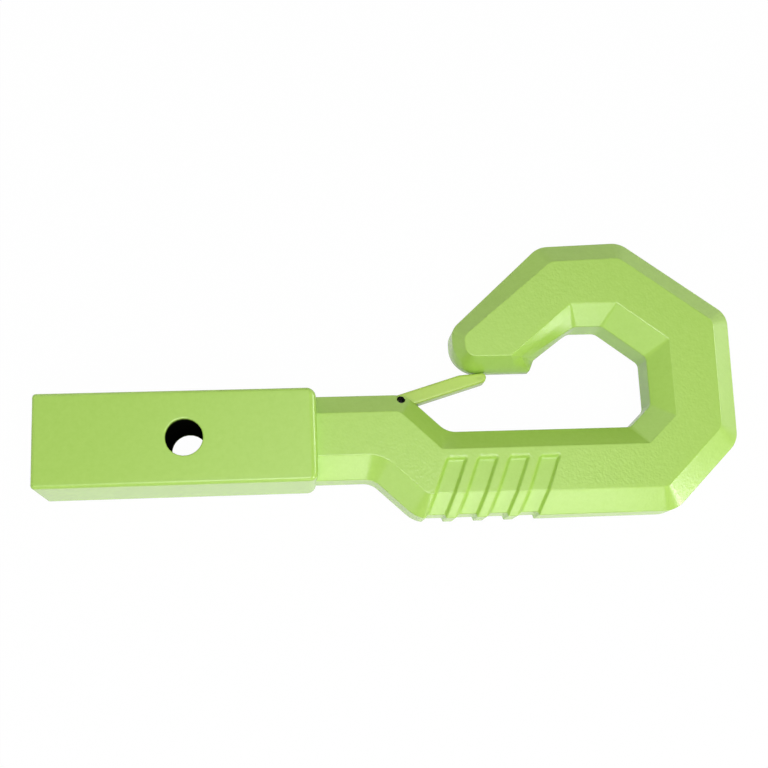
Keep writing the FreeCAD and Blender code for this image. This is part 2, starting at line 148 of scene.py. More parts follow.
def rounded_outline(points: np.ndarray, radii: np.ndarray, arc_steps: int,
                    run_steps: int) -> np.ndarray:
    """Closed outline with rounded corners, as points in order.

    Each corner's arc touches both of its edges at radius / tan(half the corner's angle) from the
    corner. Points on the arc turn evenly about its centre, and points on the straight run that
    follows are evenly spaced.

    Args:
        points: corners of an anticlockwise outline.
        radii: the arc's radius at each corner.
        arc_steps: points on each arc, its two ends included.
        run_steps: points between one arc and the next.

    Returns:
        An array of (corners x (arc_steps + run_steps), 2) points.
    """
    back = unit(np.roll(points, 1, axis=0) - points)
    ahead = unit(np.roll(points, -1, axis=0) - points)
    half = np.arccos(np.clip((back * ahead).sum(axis=1), -1, 1)) / 2
    trim = (radii / np.tan(half))[:, None]
    centre = points + unit(back + ahead) * (radii / np.sin(half))[:, None]
    start, end = points + back * trim, points + ahead * trim
    turn = (math.pi - 2 * half)[:, None]
    share = np.linspace(0, 1, arc_steps)[None, :]
    from_start = np.sin((1 - share) * turn) / np.sin(turn)
    from_end = np.sin(share * turn) / np.sin(turn)
    arcs = (centre[:, None] + from_start[..., None] * (start - centre)[:, None]
            + from_end[..., None] * (end - centre)[:, None])
    share = (np.arange(1, run_steps + 1) / (run_steps + 1))[None, :, None]
    runs = end[:, None] * (1 - share) + np.roll(start, -1, axis=0)[:, None] * share
    return np.concatenate([arcs, runs], axis=1).reshape(-1, 2)


def lifted(outline: np.ndarray, height: float) -> np.ndarray:
    """Plane points given a third component."""
    return np.concatenate([outline, np.full((len(outline), 1), height)], axis=1)


def with_back(front: np.ndarray) -> np.ndarray:
    """Rings of a front half, from the middle plane on, after those of its mirror image."""
    return np.concatenate([front[:0:-1] * OTHER_SIDE, front])


def softened(before: np.ndarray, corner: np.ndarray, after: np.ndarray, trim: float,
             steps: int) -> np.ndarray:
    """Rows that round an edge by a quadratic curve.

    The curve leaves the line from `before` at `trim` from the edge, takes the edge as its middle
    control point and joins the line to `after` at `trim` past it. Components past the third are
    carried along in the same shares.

    Args:
        before: points on one side of the edge, one row per station.
        corner: points on the edge.
        after: points on its other side.
        trim: distance from the edge at which the rounding starts and ends.
        steps: rows on the curve, its ends included.

    Returns:
        An array of (steps, stations, components).
    """
    def reach(side: np.ndarray) -> np.ndarray:
        """Points towards one side where the rounding ends, half way there at most."""
        length = np.linalg.norm((side - corner)[:, :3], axis=1, keepdims=True)
        return corner + (side - corner) * np.minimum(trim / np.maximum(length, 1e-9), 0.5)

    start, end = reach(before), reach(after)
    share = np.linspace(0, 1, steps)[:, None, None]
    return start * (1 - share) ** 2 + corner * 2 * share * (1 - share) + end * share ** 2


def between(first: np.ndarray, last: np.ndarray, shares: np.ndarray) -> np.ndarray:
    """Rows at the given shares of the way from one row of points to another."""
    return first + (last - first) * np.asarray(shares)[:, None, None]


def mesh_piece(name: str, points: np.ndarray, faces: list[list[int]]) -> bpy.types.Object:
    """Object whose mesh holds points given in millimetres.

    Args:
        name: the piece's name.
        points: (n, 3) points in millimetres.
        faces: lists of point numbers, anticlockwise seen from outside.

    Returns:
        The new object, at the origin, with smooth faces.
    """
    mesh = bpy.data.meshes.new(name)
    mesh.from_pydata((points * METRES).tolist(), [], faces)
    mesh.validate()
    mesh.shade_smooth()
    piece = bpy.data.objects.new(name, mesh)
    bpy.context.scene.collection.objects.link(piece)
    return piece


def ringed_solid(name: str, rows: np.ndarray, looped: bool = False) -> bpy.types.Object:
    """Closed solid made of rings of points.

    Args:
        name: the piece's name.
        rows: (rings, points, 3) array. Rings run anticlockwise seen from the last one.
        looped: whether the last ring joins the first, and not a flat face over each of them.

    Returns:
        The new object.
    """
    rings, count = rows.shape[:2]
    number = np.arange(rings * count).reshape(rings, count)
    caps = [] if looped else [number[0][::-1].tolist(), number[-1].tolist()]
    if looped:
        number = np.concatenate([number, number[:1]])
    beside = np.roll(number, -1, axis=1)
    quads = np.stack([number[:-1], beside[:-1], beside[1:], number[1:]], axis=-1).reshape(-1, 4)
    return mesh_piece(name, rows.reshape(-1, 3), quads.tolist() + caps)


def prism(name: str, outline: np.ndarray, half: float) -> bpy.types.Object:
    """Solid between two copies of an outline, half above and half below the middle plane."""
    return ringed_solid(name, np.stack([lifted(outline, -half), lifted(outline, half)]))


def cut_and_joined(piece: bpy.types.Object, joined: list[bpy.types.Object],
                   cut: list[bpy.types.Object]) -> None:
    """Joins solids to a piece and cuts others out of it, then removes them.

    Args:
        piece: the solid that changes.
        joined: solids that become part of it.
        cut: solids whose space is taken away.
    """
    for operation, others in (("UNION", joined), ("DIFFERENCE", cut)):
        for other in others:
            step = piece.modifiers.new(operation, "BOOLEAN")
            step.operation = operation
            step.solver = "EXACT"
            step.object = other
    bpy.context.view_layer.update()
    graph = bpy.context.evaluated_depsgraph_get()
    result = bpy.data.meshes.new_from_object(piece.evaluated_get(graph))
    piece.modifiers.clear()
    piece.data = result
    for other in joined + cut:
        bpy.data.objects.remove(other)


def dressed(piece: bpy.types.Object, *finishes: Finish) -> None:
    """Gives a piece its materials, and smooth shading that keeps sharp edges and flat faces.

    Args:
        piece: the finished mesh object.
        finishes: its finishes, in the order of its material slots.
    """
    piece.data.materials.clear()
    for finish in finishes:
        piece.data.materials.append(finish.material())
    piece.data.shade_smooth()
    piece.data.set_sharp_from_angle(angle=math.radians(SHARP_FROM_DEGREES))
    weighted = piece.modifiers.new("flat faces stay flat", "WEIGHTED_NORMAL")
    weighted.mode = "FACE_AREA"
    weighted.keep_sharp = True


# ---- finishes


def linear_colour(code: str) -> tuple[float, float, float, float]:
    """Linear RGBA of an sRGB hex code.

    Args:
        code: six hex digits.

    Returns:
        Red, green, blue and alpha in Blender's linear working space.
    """
    parts = [int(code[place:place + 2], 16) / 255 for place in (0, 2, 4)]
    red, green, blue = (
        part / 12.92 if part <= 0.04045 else ((part + 0.055) / 1.055) ** 2.4 for part in parts)
    return red, green, blue, 1.0


def add_node(tree: bpy.types.NodeTree, kind: str, inputs: dict[str | int, object] | None = None,
             **settings: object) -> bpy.types.Node:
    """Adds a shader node.

    Args:
        tree: the material's node tree.
        kind: the node's type name without "ShaderNode".
        inputs: by the input's name or number, its value, or the socket that it is linked to, or
            the node whose first output it is linked to.
        settings: attributes of the node itself.

    Returns:
        The new node.
    """
    node = tree.nodes.new("ShaderNode" + kind)
    for attribute, setting in settings.items():
        setattr(node, attribute, setting)
    for socket, source in (inputs or {}).items():
        if isinstance(source, bpy.types.Node):
            source = source.outputs[0]
        if isinstance(source, bpy.types.NodeSocket):
            tree.links.new(source, node.inputs[socket])
        else:
            node.inputs[socket].default_value = source
    return node


def empty_material(name: str) -> tuple[bpy.types.Material, bpy.types.NodeTree]:
    """Material with an empty node tree, and that tree."""
    material = bpy.data.materials.new(name)
    material.use_nodes = True
    material.node_tree.nodes.clear()
    return material, material.node_tree


@dataclass(frozen=True)
class Finish:
    """Finish of a piece. Its patterns lie on the piece's own coordinates."""

    name: str

    def material(self) -> bpy.types.Material:
        """Material with the finish's shader."""
        made, tree = empty_material(self.name)
        add_node(tree, "OutputMaterial", {
            0: self.shader(tree, add_node(tree, "TexCoord").outputs["Object"])})
        return made

    def shader(self, tree: bpy.types.NodeTree, place: bpy.types.NodeSocket) -> bpy.types.Node:
        """Adds the shader and the nodes before it.

        Args:
            tree: the material's node tree.
            place: socket of the object coordinates.

        Returns:
            The shader node.
        """
        raise NotImplementedError


@dataclass(frozen=True)
class PowderCoat(Finish):
    """Polyester powder coat, sprayed and baked over steel.

    It gives a semi-gloss skin that follows the surface below: even over machined steel, and with
    a fine orange peel over a sand-cast one, deepest on its flats. The colour is a little uneven
    from place to place.
    """

    colour: str = "AFD560"
    shade_colour: str = "A0CA52"
    roughness: float = 0.23
    mottle_mm: float = 3.5
    peel_mm: float = 1.5
    peel_height_mm: float = 0.12
    smooth_peel_height_mm: float = 0.015
    cast_from_mm: float = 68.0
    cast_by_mm: float = 72.0
    chamfer_share: float = 0.45
    chamfer_to_mm: float = 17.3
    flats_from_mm: float = 18.3

    def shader(self, tree: bpy.types.NodeTree, place: bpy.types.NodeSocket) -> bpy.types.Node:
        """Two greens in small spots, and a peel that depends on the place along X and Z."""
        axes = add_node(tree, "SeparateXYZ", {0: place})
        mottle = add_node(tree, "TexNoise", {
            "Vector": place, "Scale": 1 / (self.mottle_mm * METRES), "Detail": 3.0,
            "Roughness": 0.8})
        colour = add_node(tree, "Mix", {
            0: mottle, 6: linear_colour(self.colour), 7: linear_colour(self.shade_colour)},
            data_type="RGBA")
        cast = add_node(tree, "MapRange", {
            0: axes.outputs[0], 1: self.cast_from_mm * METRES, 2: self.cast_by_mm * METRES,
            3: self.smooth_peel_height_mm / self.peel_height_mm, 4: 1.0})
        height = add_node(tree, "Math", {0: axes.outputs[2]}, operation="ABSOLUTE")
        flats = add_node(tree, "MapRange", {
            0: height, 1: self.chamfer_to_mm * METRES, 2: self.flats_from_mm * METRES,
            3: self.chamfer_share, 4: 1.0})
        depth = add_node(tree, "Math", {0: cast, 1: flats}, operation="MULTIPLY")
        peel = add_node(tree, "TexNoise", {
            "Vector": place, "Scale": 1 / (self.peel_mm * METRES), "Detail": 1.5,
            "Roughness": 0.45})
        relief = add_node(tree, "Math", {0: peel, 1: depth}, operation="MULTIPLY")
        bump = add_node(tree, "Bump", {
            "Height": relief, "Distance": self.peel_height_mm * METRES, "Strength": 1.0})
        return add_node(tree, "BsdfPrincipled", {
            "Base Color": colour.outputs[2], "Roughness": self.roughness, "IOR": 1.5,
            "Normal": bump})


@dataclass(frozen=True)
class PaintedHoleShade(Finish):
    """Painted shade in the hitch pin hole and the latch pin's hole, where little light reaches.

    It gives a dim green that darkens to near black within a few millimetres, all of it painted
    shade, with no gloss.
    """

    # Colours of the painted shade: dimmed coat green at the mouth, near black deeper in the hole.
    mouth_shade_colour: str = "6F8A38"
    deep_shade_colour: str = "0C0D09"
    mouth_mm: float = 24.3
    deep_mm: float = 20.5
    grit_mm: float = 1.5
    grit_height_mm: float = 0.05

    def shader(self, tree: bpy.types.NodeTree, place: bpy.types.NodeSocket) -> bpy.types.Node:
        """Painted shade: dim green at the mouth's height and near black below it, over fine grit.
        """
        axes = add_node(tree, "SeparateXYZ", {0: place})
        height = add_node(tree, "Math", {0: axes.outputs[2]}, operation="ABSOLUTE")
        depth = add_node(tree, "MapRange", {
            0: height, 1: self.mouth_mm * METRES, 2: self.deep_mm * METRES},
            interpolation_type="SMOOTHSTEP")
        colour = add_node(tree, "Mix", {
            0: depth, 6: linear_colour(self.mouth_shade_colour), 7: linear_colour(self.deep_shade_colour)},
            data_type="RGBA")
        grit = add_node(tree, "TexNoise", {"Vector": place, "Scale": 1 / (self.grit_mm * METRES)})
        bump = add_node(tree, "Bump", {
            "Height": grit, "Distance": self.grit_height_mm * METRES, "Strength": 1.0})
        return add_node(tree, "BsdfPrincipled", {
            "Base Color": colour.outputs[2], "Roughness": 0.9, "Specular IOR Level": 0.0,
            "Normal": bump})


@dataclass(frozen=True)
class SteelFinish(Finish):
    """Drawn spring steel, either bright or with black oxide.

    It gives a metal sheen over a grain that is drawn coarser than the real one, to show at all.
    """

    colour: str
    roughness: float
    grain_mm: float = 0.35
    grain_height_mm: float = 0.01

    def shader(self, tree: bpy.types.NodeTree, place: bpy.types.NodeSocket) -> bpy.types.Node:
        """Plain metal with a fine grain."""
        grain = add_node(tree, "TexNoise", {"Vector": place, "Scale": 1 / (self.grain_mm * METRES)})
        bump = add_node(tree, "Bump", {
            "Height": grain, "Distance": self.grain_height_mm * METRES, "Strength": 0.5})
        return add_node(tree, "BsdfPrincipled", {
            "Base Color": linear_colour(self.colour), "Metallic": 1.0,
            "Roughness": self.roughness, "Normal": bump})


# ---- the casting


@dataclass(frozen=True)
class Corner:
    """One corner of the hook's outline, and the edge that leaves it.

    run_start and run_end say how far the outline of the flats lies inside the rim's at both ends
    of the edge. draft is how far the edge moves in between the parting band and the rim.
    """

    along: float
    across: float
    rim_radius: float
    flat_radius: float
    run_start: float
    run_end: float
    draft: float = 0.0


@dataclass(frozen=True)
class Recesses:
    """Slanted recesses that wrap round the lower bar from one flat to the other."""

    count: int = 4
    first: float = 143.9
    pitch: float = 16.87
    top: float = -13.7
    mouth: float = 11.7
    depth: float = 2.0
    draft: float = 1.5
    slant: float = 0.39
    corner: float = 1.8
    softness: float = 0.45
    station_offsets: tuple[float, ...] = (
        0.0, 1.5, 2.9, 3.5, 3.8, 4.1, 4.4, 4.7, 5.0, 5.3, 5.6, 5.9, 6.2, 6.6, 7.3)

    def unslanted(self, along: np.ndarray, across: np.ndarray) -> np.ndarray:
        """Place along the bar at the recesses' top end, followed along their slant."""
        return along - self.slant * (across - self.top)

    def stations(self) -> np.ndarray:
        """Places along the bar where the grid has a line, closer together at the walls."""
        half = np.array(self.station_offsets)
        offsets = np.concatenate([-half[:0:-1], half])
        centres = self.first + self.pitch * np.arange(self.count)
        lands = centres[:-1] + self.pitch / 2
        edges = [centres[0] - self.pitch / 2, centres[-1] + self.pitch / 2]
        return np.sort(np.concatenate([(centres[:, None] + offsets).ravel(), lands, edges]))

    def depths(self, along: np.ndarray, across: np.ndarray) -> np.ndarray:
        """Depth of the recess at points of the bar's surface.

        The distance inside a box with two rounded corners, divided by the draft, gives the share
        of the full depth, from 0 at the mouth to 1 at the floor. The two bends of that ramp are
        rounded by parabolas.

        Args:
            along: X of the points.
            across: Y of the points.

        Returns:
            Depths, 0 on the lands.
        """
        place = self.unslanted(along, across)
        number = np.clip(np.round((place - self.first) / self.pitch), 0, self.count - 1)
        beside = np.abs(place - self.first - self.pitch * number) - (self.mouth / 2 - self.corner)
        above = across - (self.top - self.corner)
        outside = np.hypot(np.maximum(beside, 0), np.maximum(above, 0))
        inside = self.corner - outside - np.minimum(np.maximum(beside, above), 0)

        def eased(distance: np.ndarray) -> np.ndarray:
            """The distance where it is positive, with the bend at 0 rounded."""
            bend = (distance + self.softness) ** 2 / (4 * self.softness)
            return np.where(distance < -self.softness, 0,
                            np.where(distance > self.softness, distance, bend))

        return self.depth * (eased(inside) - eased(inside - self.draft)) / self.draft


@dataclass(frozen=True)
class Heel:
    """Heel of the nose: a facet under it, and a smaller one that turns into the bowl.

    Three straight edges leave the parting band. The one in front and the flats meet in the
    crest. The other two meet lower, in the valley, and run on to the crest as one.
    """

    front: tuple[float, float] = (182.3, 35.78)
    low: tuple[float, float] = (189.2, 35.8)
    top: tuple[float, float] = (192.1, 42.5)
    valley: tuple[float, float] = (182.9, 41.8)
    valley_half: float = 13.4
    radii: tuple[float, float, float] = (0.5, 1.2, 6.0)
    least_radius: float = 0.05
    steps: tuple[tuple[float, float], ...] = ((0.06, 0.01), (0.17, 0.06))

    def corners(self, crest: np.ndarray, height: float, band_half: float,
                flat_half: float) -> tuple[np.ndarray, np.ndarray]:
        """Corners of the heel in the outline at one height.

        Args:
            crest: plane point where the edges end on the flats.
            height: how far from the middle plane the outline lies.
            band_half: half height of the parting band.
            flat_half: half thickness at the flats.

        Returns:
            Three plane points, kept just apart where edges have met, and their radii.
        """
        front, low, top, valley = map(np.array, (self.front, self.low, self.top, self.valley))
        first, second = map(np.array, self.steps)
        share = np.clip((height - band_half) / (flat_half - band_half), 0, 1)
        below = np.clip((height - band_half) / (self.valley_half - band_half), 0, 1)
        above = np.clip((height - self.valley_half) / (flat_half - self.valley_half), 0, 1)
        bend = valley + (crest + first - valley) * above
        points = np.array([front + (crest - front) * share, low + (bend - low) * below,
                           top + (bend + second - first - top) * below])
        fade = 1 - np.array([share, below, below])
        return points, np.maximum(np.array(self.radii) * fade, self.least_radius)


@dataclass(frozen=True)
class HookForm:
    """Neck, bowl and nose of the casting as one chamfered solid."""

    flat_half: float = 18.4
    rim_half: float = 8.64
    band_half: float = 3.0
    edge_softness: float = 0.45
    flat_border: float = 1.7
    recess_rows_end: float = -12.2
    bar_span: tuple[float, float] = (118.0, 240.0)
    least_radius: float = 0.3
    arc_steps: int = 13
    run_steps: int = 22
    edge_steps: int = 6
    face_steps: int = 5
    lead_steps: int = 11
    bar_end_steps: int = 3
    border_shares: tuple[float, ...] = (
        0.12, 0.25, 0.38, 0.5, 0.6, 0.68, 0.72, 0.745, 0.765, 0.785, 0.805, 0.825, 0.845, 0.865,
        0.885, 0.905, 0.925, 0.95, 1.0)
    recesses: Recesses = Recesses()
    heel: Heel = Heel()
    heel_at: int = 10
    corners: tuple[Corner, ...] = (
        Corner(57.4, -23.0, 1.0, 1.0, 12.0, 12.0),
        Corner(99.1, -23.0, 11.5, 20.0, 12.0, 12.0),
        Corner(122.3, -45.0, 16.0, 6.0, 12.0, 12.0),
        Corner(263.8, -45.0, 16.0, 6.0, 13.1, 13.1),
        Corner(302.2, -8.0, 14.0, 6.0, 12.0, 12.0),
        Corner(303.6, 64.7, 11.5, 6.0, 12.0, 12.0),
        Corner(245.0, 108.3, 14.0, 6.0, 12.0, 12.0),
        Corner(198.0, 106.5, 14.0, 6.0, 12.0, 8.3),
        Corner(146.0, 59.3, 10.0, 6.0, 5.6, 5.6),
        Corner(146.0, 35.8, 14.0, 6.0, 5.6, 5.6, 2.1),
        Corner(183.0, 35.8, 0.0, 0.0, 8.6, 10.7),
        Corner(215.0, 59.4, 6.5, 2.0, 11.0, 11.0),
        Corner(230.8, 59.4, 6.5, 2.0, 13.1, 13.1),
        Corner(254.6, 41.0, 4.5, 2.0, 11.0, 11.0),
        Corner(254.6, 13.4, 4.5, 2.0, 13.1, 13.1),
        Corner(242.3, 1.8, 4.5, 2.0, 11.0, 11.0),
        Corner(140.4, 1.8, 12.5, 2.0, 11.0, 11.0),
        Corner(118.5, 23.0, 17.0, 6.0, 11.0, 11.0),
        Corner(57.4, 23.0, 1.0, 1.0, 0.5, 0.5),
    )

    def outlines(self) -> list[np.ndarray]:
        """Outlines of the parting band, the rim, the heel's valley, the flats and their border.

        The heel is one corner in the table, where the nose's underside and the bowl's lip would
        meet, and its three corners take that one's place.

        Returns:
            Five arrays of plane points that belong to each other by number.
        """
        table = np.array([astuple(corner) for corner in self.corners])
        points, (rim_radius, flat_radius, start, end, draft) = table[:, :2], table[:, 2:].T
        rim = moved_corners(points, draft, draft)
        flat = moved_corners(points, start, end)
        border = moved_corners(points, start + self.flat_border, end + self.flat_border)
        border_radius = np.maximum(
            flat_radius + np.where(is_convex(points), -self.flat_border, self.flat_border),
            self.least_radius)
        share = self.valley_share()
        shapes = (
            (points, rim_radius, flat, self.band_half),
            (rim, rim_radius, flat, self.rim_half),
            (rim + (flat - rim) * share, rim_radius + (flat_radius - rim_radius) * share, flat,
             self.heel.valley_half),
            (flat, flat_radius, flat, self.flat_half),
            (border, border_radius, border, self.flat_half),
        )
        outlines = []
        for corners, radii, crests, height in shapes:
            heel_points, heel_radii = self.heel.corners(
                crests[self.heel_at], height, self.band_half, self.flat_half)
            outlines.append(rounded_outline(
                np.concatenate([corners[:self.heel_at], heel_points, corners[self.heel_at + 1:]]),
                np.concatenate([radii[:self.heel_at], heel_radii, radii[self.heel_at + 1:]]),
                self.arc_steps, self.run_steps))
        return outlines

    def valley_share(self) -> float:
        """Where the valley's height lies between the rim, 0, and the flats, 1."""
        return (self.heel.valley_half - self.rim_half) / (self.flat_half - self.rim_half)

    def controls(self) -> np.ndarray:
        """Edges of the front half, from the middle plane to the flat, with their inset shares.

        An inset share is how far a point moves in Y and Z when every face of the lower bar sinks
        by 1 mm: the mitre of the two faces that meet there.

        Returns:
            (6, stations, 5) array of X, Y, Z and the two shares.
        """
        band, rim, valley, flat, border = self.outlines()
        fall = self.corners[2].run_start
        rise = self.flat_half - self.rim_half
        slope = math.hypot(fall, rise)
        to_rim, to_flat = (slope - rise) / fall, (slope - fall) / rise
        share = self.valley_share()
        levels = (
            (band, 0.0, 1.0, 0.0),
            (band, self.band_half, 1.0, -to_rim * self.band_half / self.rim_half),
            (rim, self.rim_half, 1.0, -to_rim),
            (valley, self.heel.valley_half, 1 + (to_flat - 1) * share,
             -to_rim + (to_rim - 1) * share),
            (flat, self.flat_half, to_flat, -1.0),
            (border, self.flat_half, 0.0, -1.0),
        )
        return np.stack([
            np.concatenate([lifted(outline, height),
                            np.broadcast_to((in_y, in_z), (len(outline), 2))], axis=1)
            for outline, height, in_y, in_z in levels])

    def slanted_stations(self, controls: np.ndarray) -> np.ndarray:
        """Replaces the lower bar's stations by lines that follow the recesses' slant.

        On every edge the points between the middle of the neck's lower slope and the last
        straight of the bar are placed anew by linear interpolation over their unslanted place.

        Args:
            controls: the array from controls().

        Returns:
            The array with the bar's stations replaced.
        """
        per_corner = self.arc_steps + self.run_steps
        first = per_corner + self.arc_steps + self.run_steps // 2
        last = 2 * per_corner + self.arc_steps + self.run_steps - self.bar_end_steps
        zone = controls[:, first:last + 1]
        place = self.recesses.unslanted(zone[..., 0], zone[..., 1])
        common = self.recesses.stations()
        lead = self.lead_steps
        steps = np.linspace(0, 1, lead + 1)[:-1]
        levels = []
        for level, own in zip(zone, place):
            wanted = np.concatenate([
                own[0] + (common[0] - own[0]) * steps, common,
                (own[-1] + (common[-1] - own[-1]) * steps)[::-1]])
            levels.append(np.stack([np.interp(wanted, own, part) for part in level.T], axis=1))
        changed = np.stack(levels)
        border = changed[-1, lead:lead + len(common)]
        unslanted = self.recesses.unslanted(border[:, 0], border[:, 1])
        border[:, 1] = self.recess_rows_end
        border[:, 0] = unslanted + self.recesses.slant * (self.recess_rows_end - self.recesses.top)
        return np.concatenate([controls[:, :first], changed, controls[:, last + 1:]], axis=1)

    def rows(self) -> np.ndarray:
        """Every ring of the solid.

        Returns:
            (rings, stations, 3) array, from the border of one flat to that of the other.
        """
        middle, band, rim, valley, flat, border = self.slanted_stations(self.controls())
        rim_rows = softened(band, rim, valley, self.edge_softness, self.edge_steps)
        flat_rows = softened(valley, flat, border, self.edge_softness, self.edge_steps)
        shares = np.linspace(0, 1, self.face_steps)[1:]
        lower = between(rim_rows[-1], valley, shares)
        upper = between(valley, flat_rows[0], shares[:-1])
        front = np.concatenate([
            middle[None], band[None], rim_rows, lower, upper, flat_rows,
            between(flat_rows[-1], border, self.border_shares)])
        along, across = front[..., 0], front[..., 1]
        depth = self.recesses.depths(along, across)
        on_bar = (across < self.recess_rows_end + 0.01) & (
            along > self.bar_span[0]) & (along < self.bar_span[1])
        depth = np.where(on_bar, depth, 0)
        sunk = front[..., :3].copy()
        rise = depth * front[..., 3]
        sunk[..., 0] += self.recesses.slant * rise
        sunk[..., 1] += rise
        sunk[..., 2] += depth * front[..., 4]
        return with_back(sunk)


@dataclass(frozen=True)
class Shank:
    """Square bar that slides into the receiver, with the hitch pin hole through it."""

    tail: float = -78.0
    front: float = 69.4
    half: float = 25.0
    edge_radius: float = 2.0
    front_radius: float = 4.5
    bore_radius: float = 9.8
    mouth_softness: float = 0.9
    arc_steps: int = 9
    run_steps: int = 20
    edge_rows: int = 7
    face_steps: int = 8
    mouth_steps: int = 6

    def outline(self) -> tuple[np.ndarray, np.ndarray, np.ndarray]:
        """Outline seen from the broad side, its outward directions and its edge radii.

        Returns:
            Plane points, unit vectors and the radius that rounds the edge at each point.
        """
        points = np.array([(self.tail, -self.half), (self.front, -self.half),
                           (self.front, self.half), (self.tail, self.half)])
        radii = np.array([self.edge_radius, self.front_radius, self.front_radius, self.edge_radius])
        outline = rounded_outline(points, radii, self.arc_steps, self.run_steps)
        following = np.roll(outline, -1, axis=0) - np.roll(outline, 1, axis=0)
        outward = -turned_left(unit(following))
        past = outline[:, 0] - (self.front - self.front_radius)
        share = np.clip(past / self.front_radius, 0, 1)
        radius = self.edge_radius + (self.front_radius - self.edge_radius) * share
        return outline, outward, radius

    def rows(self) -> np.ndarray:
        """Every ring of the bar, which close on themselves.

        Returns:
            (rings, stations, 3) array, from the bore's middle over the back and the front.
        """
        outline, outward, radius = self.outline()
        turn = np.linspace(0, math.pi / 2, self.edge_rows)[:, None]
        inset = radius * (1 - np.cos(turn))
        plane = outline[None] - outward[None] * inset[..., None]
        height = self.half - radius * (1 - np.sin(turn))
        edge = np.concatenate([plane, height[..., None]], axis=-1)
        middle = lifted(outline, 0.0)[None]
        way = unit(edge[-1, :, :2])
        mouth_face = lifted(way * (self.bore_radius + self.mouth_softness), self.half)
        mouth_edge = lifted(way * self.bore_radius, self.half)
        mouth_wall = lifted(way * self.bore_radius, self.half - self.mouth_softness)
        face = between(edge[-1], mouth_face, np.linspace(0, 1, self.face_steps)[1:-1])
        outer = lifted(way * 2 * (self.bore_radius + self.mouth_softness), self.half)
        mouth = softened(outer, mouth_edge, mouth_wall * OTHER_SIDE, self.mouth_softness,
                         self.mouth_steps)
        bore = lifted(way * self.bore_radius, 0.0)[None]
        return np.concatenate([bore, with_back(np.concatenate([middle, edge, face, mouth]))])


@dataclass(frozen=True)
class LatchSeat:
    """Where the latch turns, and the space that the casting leaves for it."""

    pivot: tuple[float, float] = (115.9, 20.0)
    half_width: float = 5.3
    reach: float = 4.35
    rest_angle: float = 16.7
    swing: float = 34.0
    top: float = 24.5
    past: float = 24.5
    corner_radius: float = 0.2
    root_share: float = 0.9
    slot_steps: int = 9
    side_steps: int = 3
    bore_radius: float = 2.25
    bore_steps: int = 64
    flare_steps: int = 7
    flare_past: float = 3.0
    mouth_softness: float = 0.5
    mouth_height: float = 10.54
    mouth_slope: tuple[float, float] = (-0.257, -0.866)

    def slot(self) -> bpy.types.Object:
        """Solid of the slot between the ears.

        Returns:
            A prism whose floor lies along the open latch, and which is open to the bowl side.
        """
        way = heading(self.rest_angle - self.swing)
        start = np.array(self.pivot) - turned_left(way) * self.reach
        left = self.pivot[0] - self.reach
        floor_left = start + way * (left - start[0]) / way[0]
        floor_right = start + way * self.past
        points = np.array([(left, self.top), floor_left, floor_right, (floor_right[0], self.top)])
        radii = np.array([self.corner_radius, self.reach * self.root_share, self.corner_radius,
                          self.corner_radius])
        outline = rounded_outline(points, radii, self.slot_steps, self.side_steps)
        return prism("slot", outline, self.half_width)

    def bore(self) -> bpy.types.Object:
        """Solid of the pin's hole, flared where it leaves the chamfer.

        The chamfer is taken as a plane there, and each ring of the flare lies in a parallel one.

        Returns:
            The solid, which stands out of the chamfers at both ends.
        """
        share = np.linspace(0, 1, self.flare_steps)
        drops = np.concatenate([self.mouth_softness * (1 - share) ** 2, [-self.flare_past]])
        radii = self.bore_radius + self.mouth_softness * np.concatenate([share ** 2, [1.0]])
        offsets = circle(self.bore_steps) * radii[:, None, None]
        heights = self.mouth_height - drops[:, None] + offsets @ np.array(self.mouth_slope)
        flare = np.concatenate([np.array(self.pivot) + offsets, heights[..., None]], axis=2)
        middle = lifted(np.array(self.pivot) + circle(self.bore_steps) * self.bore_radius, 0.0)
        return ringed_solid("pin_bore", with_back(np.concatenate([middle[None], flare])))


@dataclass(frozen=True)
class Casting:
    """Shank, neck and hook in one piece, with its holes, slot and recesses."""

    form: HookForm = HookForm()
    shank: Shank = Shank()
    seat: LatchSeat = LatchSeat()
    finish: PowderCoat = PowderCoat("lime_powder_coat_on_casting")
    hole_shade: PaintedHoleShade = PaintedHoleShade("painted_shade_in_holes")

    def in_holes(self, piece: bpy.types.Object) -> np.ndarray:
        """Finds the faces of the hitch hole's wall and of the latch pin's hole.

        A face belongs to a hole where its middle is nearer to the hole's axis than just past the
        hole's radius, and lower than the mouth.

        Args:
            piece: the finished casting.

        Returns:
            True for each of those faces, by face number.
        """
        middles = np.empty(len(piece.data.polygons) * 3)
        piece.data.polygons.foreach_get("center", middles)
        middles = middles.reshape(-1, 3) / METRES
        height = np.abs(middles[:, 2])
        hitch = (np.hypot(middles[:, 0], middles[:, 1]) < self.shank.bore_radius + 0.1) & (
            height < self.shank.half - self.shank.mouth_softness)
        pivot = middles[:, :2] - np.array(self.seat.pivot)
        pin = (np.hypot(pivot[:, 0], pivot[:, 1]) < self.seat.bore_radius + 0.02) & (
            height > self.seat.half_width + 0.1)
        return hitch | pin

    def build(self) -> bpy.types.Object:
        """Builds the casting, which stands for its solid.

        Returns:
            The dressed piece.
        """
        piece = ringed_solid("casting", self.form.rows())
        shank = ringed_solid("shank", self.shank.rows(), looped=True)
        cut_and_joined(piece, [shank], [self.seat.slot(), self.seat.bore()])
        dressed(piece, self.finish, self.hole_shade)
        # Faces inside the two holes take the second material, the painted shade.
        piece.data.polygons.foreach_set("material_index", self.in_holes(piece).astype(np.int32))
        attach(piece, Body.HOOK.value)
        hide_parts("hook_body")
        return piece


# ---- the latch and its pin and spring


